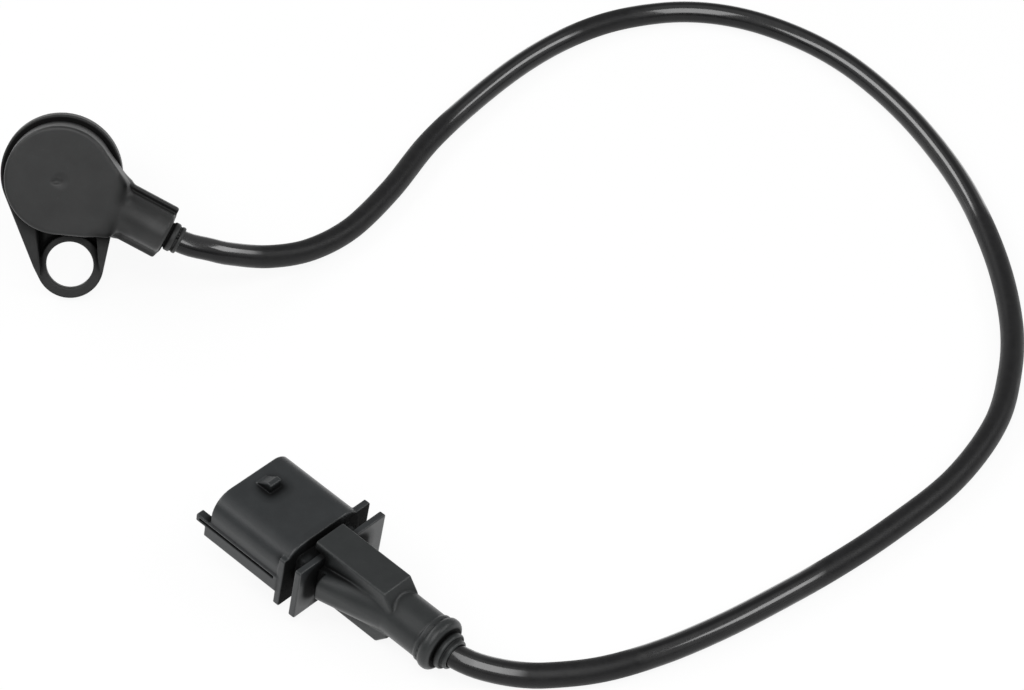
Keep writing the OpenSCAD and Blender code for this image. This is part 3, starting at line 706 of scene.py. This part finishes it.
# housing with rails, locking nub and clip plates; an opening is its width, height, start and end
housing = {
    "mouth": -25.1, "floor": -10.5, "rear": -4.4, "width": 22.6, "height": 13.0, "corner": 5.0, "wall": 1.7,
    "edge": 0.45, "mouthEdge": 0.3, "neckW": 15.2, "neckH": 7.2, "neckR": 0.8, "neckRun": (-5.0, -0.5),
    "plates": [(-5.9, -4.4), (-1.5, 0.0)], "plateW": 25.6, "plateUp": 4.7, "plateDown": 8.6, "plateOff": 1.4,
    "plateR": 0.5, "plateEdge": 0.22, "plateFillet": 0.25,
    "railSide": (9.5, 11.65), "railTop": -1.4, "railLow": -4.9, "railPast": 1.0, "railEnd": -5.5, "railEdge": 0.3,
    "tongueLow": 1.0, "tongueUp": 0.9, "tonguePast": 3.6, "tongueEdge": 0.35, "railFillet": 0.2,
    "slitHalf": 0.28, "slitFrom": 11.05, "slitPast": 2.6, "slitEnd": -6.6,
    "nub": [(-22.7, 6.0), (-18.6, 6.0), (-18.6, 8.65), (-19.7, 8.65), (-22.7, 6.5)],
    "nubW": 1.55, "nubOff": 0.3, "nubEdge": 0.15,
    "openings": [(13.4, 5.0, -12.0, -5.0), (8.0, 4.0, -6.0, 2.0)], "openingR": 0.1,
    "box": ((-28.8, -12.4, -8.7), (0.1, 14.3, 8.2)), "step": 0.24, "keep": 0.85,
}


def housingShape(x, y, z):
    h = housing
    whole = roundFlat(y, z, h["width"], h["height"], h["corner"])
    whole = eased(whole, between(x, h["mouth"], h["rear"]), h["edge"])
    neck = np.maximum(roundFlat(y, z, h["neckW"], h["neckH"], h["neckR"]), between(x, *h["neckRun"]))
    whole = np.minimum(whole, neck)
    middle = (h["plateUp"] - h["plateDown"]) / 2
    flat = roundFlat(y - h["plateOff"], z - middle, h["plateW"], h["plateUp"] + h["plateDown"], h["plateR"])
    for first, last in h["plates"]:
        whole = joined(whole, eased(flat, between(x, first, last), h["plateEdge"]), h["plateFillet"])
    side = np.abs(y)
    flank = between(side, *h["railSide"])
    rail = eased(flank, between(z, h["railLow"], h["railTop"]), h["railEdge"])
    rail = eased(rail, between(x, h["mouth"] - h["railPast"], h["railEnd"]), h["railEdge"])
    tongue = between(z, h["railTop"] - h["tongueLow"], h["railTop"] + h["tongueUp"])
    tongue = eased(flank, tongue, h["tongueEdge"])
    tongue = eased(tongue, between(x, h["mouth"] - h["tonguePast"], h["railEnd"]), h["tongueEdge"])
    whole = joined(whole, np.minimum(rail, tongue), h["railFillet"])
    nub = eased(polyFlat(h["nub"], x, z), np.abs(y - h["nubOff"]) - h["nubW"], h["nubEdge"])
    whole = joined(whole, nub, h["nubEdge"])
    socket = roundFlat(y, z, h["width"] - 2 * h["wall"], h["height"] - 2 * h["wall"], h["corner"] - h["wall"])
    whole = eased(whole, -np.maximum(socket, x - h["floor"]), h["mouthEdge"])
    for wide, high, first, last in h["openings"]:
        whole = np.maximum(whole, -np.maximum(roundFlat(y, z, wide, high, h["openingR"]), between(x, first, last)))
    slit = np.maximum(h["slitFrom"] - side, between(x, h["mouth"] - h["slitPast"], h["slitEnd"]))
    slit = np.maximum(np.abs(z - h["railTop"]) - h["slitHalf"], slit)
    return np.maximum(whole, -slit)


# boot: a flat root that narrows to a round barrel, a bar above and below, bead and tail
boot = {
    "rootW": 8.9, "rootTop": 2.2, "rootLow": 4.0, "rootR": 1.9, "narrow": 17.0, "barrelR": 5.2, "barrelPast": 1.5,
    "slotT": 1.9, "slotY": 5.8, "slotEdge": 0.4, "overPlate": -2.9, "plateUp": 4.75,
    "barW": 4.1, "barH": 6.9, "barLen": 16.0, "barBack": -5.0, "barSunk": -3.0, "barRound": 0.6, "barDrop": 0.35,
    "footOut": 1.9, "footUp": 3.7, "deeper": 0.45, "barEdge": 0.5, "barFillet": 0.35,
    "beadR": 5.95, "beadAt": 27.1, "beadT": 3.0, "beadEdge": 1.35, "beadFillet": 0.25,
    "shoulderIn": 0.45, "shoulderFrom": -0.9, "shoulderTo": 0.3, "shoulderEdge": 0.4,
    "tailR": 3.35, "tailEdge": 0.4, "lipR": 4.15, "lipGap": 0.25, "lipShort": 1.2, "lipEdge": 0.45,
    "end": 33.0, "holeR": 2.74, "holeFrom": 14.0,
    "box": ((-3.4, -9.2, -7.5), (33.2, 9.2, 7.0)), "step": 0.22, "keep": 0.96,
}


def bootShape(x, y, z):
    b = boot
    axis = np.hypot(y, z)
    run = np.clip(x / b["narrow"], 0, 1)
    top, low, wide, corner = (b[k] + (b["barrelR"] - b[k]) * run for k in ("rootTop", "rootLow", "rootW", "rootR"))
    whole = roundFlat(y, z - (top - low) / 2, 2 * wide, top + low, corner)
    whole = np.maximum(whole, between(x, 0, b["beadAt"] + b["barrelPast"]))
    slot = np.maximum(x - b["slotT"], b["slotY"] - np.abs(y))
    whole = eased(whole, -slot, b["slotEdge"])
    up = np.where(z > 0, z, -z - b["deeper"])
    crest, foot = b["barH"] - b["barRound"], b["barLen"] + b["footOut"]
    corners = [
        (b["barBack"], b["barSunk"]), (b["barBack"], crest), (b["barLen"] - b["barDrop"], crest),
        (foot, b["footUp"]), (foot, b["barSunk"]),
    ]
    bar = eased(polyFlat(corners, x, up) - b["barRound"], np.abs(y) - b["barW"], b["barEdge"])
    upper = np.maximum(bar, np.where(z > b["plateUp"], b["overPlate"] - x, -x))
    bar = np.where(z > 0, upper, np.maximum(bar, -x))
    whole = joined(whole, bar, b["barFillet"])
    shoulder = between(x, b["beadAt"] + b["shoulderFrom"], b["beadAt"] + b["shoulderTo"])
    shoulder = eased(axis - b["beadR"] + b["shoulderIn"], shoulder, b["shoulderEdge"])
    bead = eased(axis - b["beadR"], between(x, b["beadAt"], b["beadAt"] + b["beadT"]), b["beadEdge"])
    tail = eased(axis - b["tailR"], between(x, b["beadAt"], b["end"]), b["tailEdge"])
    lip = between(x, b["beadAt"] + b["beadT"] + b["lipGap"], b["end"] - b["lipShort"])
    lip = eased(axis - b["lipR"], lip, b["lipEdge"])
    whole = joined(whole, np.minimum(shoulder, bead), b["beadFillet"])
    whole = np.minimum(np.minimum(whole, tail), lip)
    return np.maximum(whole, -np.maximum(axis - b["holeR"], b["holeFrom"] - x))


def plugShape(x, y, z):
    return np.minimum(housingShape(x, y, z), bootShape(x, y, z))


housingPiece = moulded("plugHousing", housingShape, housing, plugStance, finish["plugPlastic"], None, plugShape)
bootPiece = moulded("plugBoot", bootShape, boot, plugStance, finish["bootPlastic"], None, plugShape)

# one blade with a chamfered tip, repeated across the socket
contacts = {
    "pitch": 5.0, "count": 3, "tip": -17.7, "tail": -2.0, "width": 1.6, "thick": 0.8,
    "point": 1.1, "narrow": 0.45, "thin": 0.28, "edge": 0.08, "endEdge": 0.06,
    "box": ((-17.7, -0.8, -0.4), (-2.0, 0.8, 0.4)), "step": 0.1, "keep": 0.3,
}


def contactTree():
    tree, start, end = newGroup("contactRow",
        [("Geometry", "Geometry", None), ("Count", "Int", 3), ("Pitch", "Float", 0.005), ("Finish", "Material", None)],
        [("Geometry", "Geometry")], "GeometryNodeTree")
    blade, count, pitch, material = (start.outputs[k] for k in range(4))
    steps = math2(tree, "SUBTRACT", count, 1.0)
    first = math2(tree, "MULTIPLY", steps, math2(tree, "MULTIPLY", pitch, -0.5))
    row = put(tree, "GeometryNodeMeshLine", {
        "Count": count, "Start Location": put(tree, "ShaderNodeCombineXYZ", {1: first}).outputs[0],
        "Offset": put(tree, "ShaderNodeCombineXYZ", {1: pitch}).outputs[0]})
    spots = put(tree, "GeometryNodeInstanceOnPoints", {"Points": row.outputs[0], "Instance": blade})
    return closeTree(tree, end, spots.outputs[0], material)


def bladeShape(x, y, z):
    c = contacts
    taper = np.clip((c["tip"] + c["point"] - x) / c["point"], 0, 1)
    wide, thick = np.abs(y) - c["width"] / 2 + c["narrow"] * taper, np.abs(z) - c["thick"] / 2 + c["thin"] * taper
    return eased(eased(wide, thick, c["edge"]), between(x, c["tip"], c["tail"]), c["endEdge"])


blade = moulded("blade", bladeShape, contacts, Matrix.Identity(4), finish["contactBrass"])
contactPiece = grown("contactBlades", blade, contactTree(), {
    "Count": contacts["count"], "Pitch": contacts["pitch"] * mm, "Finish": finish["contactBrass"]})
contactPiece.data.transform(Matrix.Scale(mm, 4) @ plugStance @ Matrix.Scale(1 / mm, 4))
print("contacts placed")

# solids that stay as they are
solidFinish = {
    "seal_ring": "sealRubber", "pole_pin": "poleSteel", "magnet": "magnetMetal", "coil_former": "formerPlastic",
    "winding": "windingCopper", "blade_left": "contactBrass", "blade_right": "contactBrass",
    "core_left": "coreBrown", "core_right": "coreBlue", "contact_carrier": "carrierPlastic",
    "plug_core_1": "coreBrown", "plug_core_2": "corePale", "plug_core_3": "coreBlue",
}
for name, material in solidFinish.items():
    nodes[name].data.materials.clear()
    nodes[name].data.materials.append(finish[material])

# what rides on the part, and the solids it stands for
for piece, stands, slot in (
    (leadPiece, ("cable",), "lead_sheath"),
    (coverPiece, ("cover",), "cover_plastic"),
    (bodyPiece, ("sensor_body",), "body_plastic"),
    (housingPiece, ("plug_housing",), "plug_plastic"),
    (bootPiece, ("plug_boot",), "boot_plastic"),
    (contactPiece, ("contact_1", "contact_2", "contact_3"), "contact_brass"),
):
    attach(piece, "root")
    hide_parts(*stands)
onLead = [housingPiece, bootPiece, contactPiece]
onLead += [nodes[n] for n in ("contact_carrier", "plug_core_1", "plug_core_2", "plug_core_3")]
print("pieces placed")

# white floor that keeps the shadow, an even sky, three soft boxes
stageSet = {"floor": 6.0, "paper": 0.9, "glow": 0.9, "sky": 0.35, "aim": (0.09, -0.03, 0)}
lamps = {
    "frontLamp": {"place": (0.09, -0.65, 0.9), "size": (0.8, 1.05), "power": 7.0},
    "leftLamp": {"place": (-0.66, 0.17, 0.7), "size": (1.25, 0.4), "power": 5.2},
    "rightLamp": {"place": (0.89, -0.08, 0.735), "size": (0.9, 0.34), "power": 3.0},
}
white = tone((1, 1, 1))
floorMesh = bpy.data.meshes.new("floor")
half = stageSet["floor"] / 2
floorMesh.from_pydata([(-half, -half, 0), (half, -half, 0), (half, half, 0), (-half, half, 0)], [], [(0, 1, 2, 3)])
floor = bpy.data.objects.new("floor", floorMesh)
scene.collection.objects.link(floor)
floorFinish = bpy.data.materials.new("floorWhite")
floorFinish.use_nodes = True
tree = floorFinish.node_tree
tree.nodes.clear()
ray = tree.nodes.new("ShaderNodeLightPath")
mirrored = math2(tree, "MAXIMUM", ray.outputs["Is Glossy Ray"], ray.outputs["Is Transmission Ray"])
seen = math2(tree, "MAXIMUM", ray.outputs["Is Camera Ray"], mirrored)
paper = put(tree, "ShaderNodeBsdfDiffuse", {"Color": tone((stageSet["paper"],) * 3)})
glow = put(tree, "ShaderNodeEmission", {"Color": white, "Strength": 1.0})
mixed = put(tree, "ShaderNodeMixShader", {
    0: math2(tree, "MULTIPLY", seen, stageSet["glow"]), 1: paper.outputs[0], 2: glow.outputs[0]})
tree.links.new(mixed.outputs[0], tree.nodes.new("ShaderNodeOutputMaterial").inputs["Surface"])
floorMesh.materials.append(floorFinish)

world = bpy.data.worlds.new("studio")
world.use_nodes = True
scene.world = world
tree = world.node_tree
tree.nodes.clear()
sky = put(tree, "ShaderNodeBackground", {"Color": white, "Strength": stageSet["sky"]})
tree.links.new(sky.outputs[0], tree.nodes.new("ShaderNodeOutputWorld").inputs["Surface"])


def softBox(name, aim, place, size, power):
    data = bpy.data.lights.new(name, "AREA")
    data.shape = "RECTANGLE"
    data.size, data.size_y = size
    data.energy = power
    lamp = bpy.data.objects.new(name, data)
    lamp.location = place
    lamp.rotation_euler = (Vector(aim) - Vector(place)).to_track_quat("-Z", "Y").to_euler()
    scene.collection.objects.link(lamp)


for name, values in lamps.items():
    softBox(name, stageSet["aim"], **values)
print("stage set")
